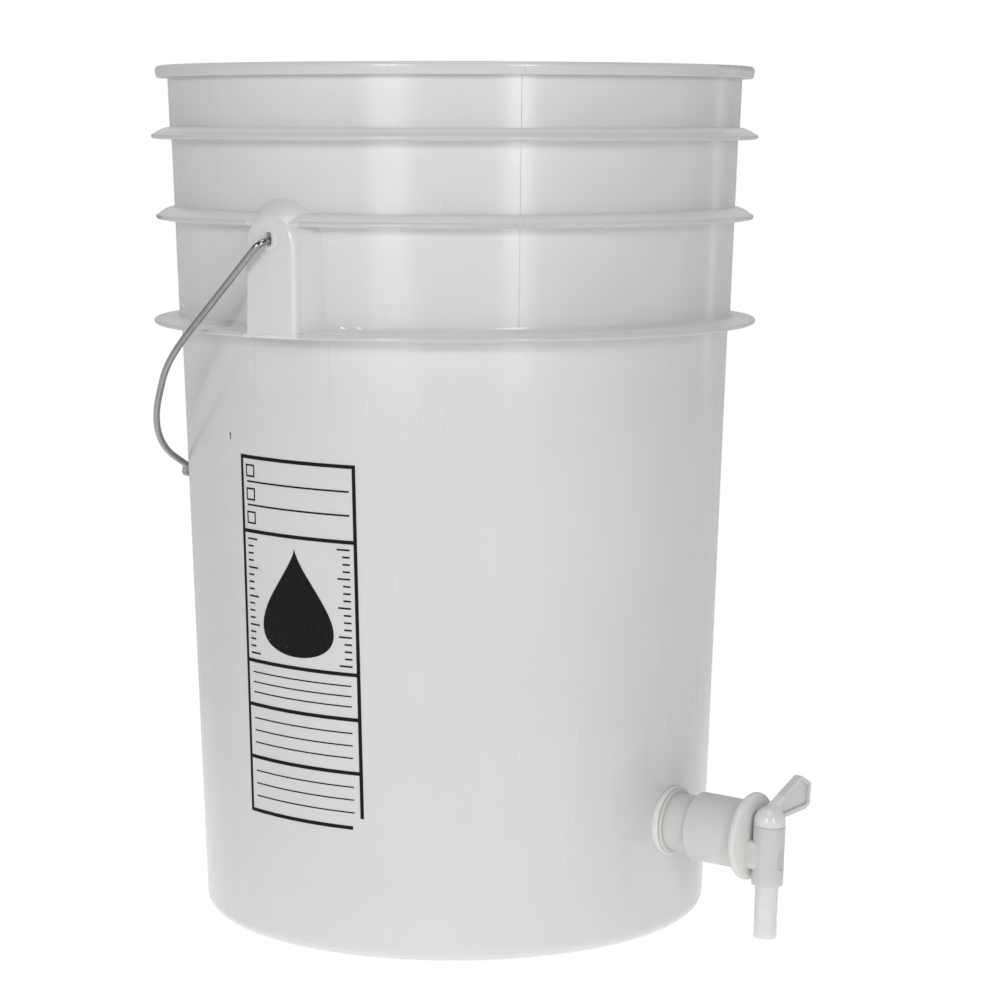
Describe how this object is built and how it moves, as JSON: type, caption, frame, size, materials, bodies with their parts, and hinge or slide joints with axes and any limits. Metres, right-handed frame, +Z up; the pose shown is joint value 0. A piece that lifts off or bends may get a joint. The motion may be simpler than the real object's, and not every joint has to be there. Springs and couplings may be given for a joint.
{
  "type": "plastic fermenting bucket",
  "caption": "Tapered round plastic pail with stacked flanges, a hinged wire bail with a tube grip, and a bottling spigot with a quarter-turn valve near the base.",
  "frame": {"origin": "centre of the flat base, on the surface the bucket stands on", "axes": "+Z up the bucket's axis; -Y the way the spigot points; X along the bail's hinge line; the bail rests on the +Y side"},
  "size_m": [0.3308, 0.3582, 0.4429],
  "materials": {
    "pail_plastic": "white food-grade polyethylene, satin",
    "zinc_wire": "galvanised wire",
    "grip_plastic": "white polyethylene tube",
    "spigot_plastic": "natural translucent polypropylene",
    "plug_plastic": "white glossy polypropylene",
    "gasket_rubber": "pale soft rubber"
  },
  "bodies": {
    "bucket": {"pail": "pail_plastic", "spigot_body": "spigot_plastic", "outer_gasket": "gasket_rubber", "inner_gasket": "gasket_rubber", "lock_nut": "spigot_plastic"},
    "bail": {"bail_wire": "zinc_wire"},
    "grip": {"bail_grip": "grip_plastic"},
    "valve": {"valve_plug": "plug_plastic"}
  },
  "joints": [
    {"name": "bail_swing", "type": "hinge", "parent": "bucket", "child": "bail", "pos_m": [0, 0, 0.3575], "axis": [1, 0, 0], "range_deg": [0, 268]},
    {"name": "grip_spin", "type": "hinge", "parent": "bail", "child": "grip", "pos_m": [0, 0.14775, 0.21482], "axis": [1, 0, 0], "continuous": true},
    {"name": "valve_turn", "type": "hinge", "parent": "bucket", "child": "valve", "pos_m": [0, -0.19179, 0.05746], "axis": [0, 0.034, -0.9994], "range_deg": [-16, 196]}
  ]
}
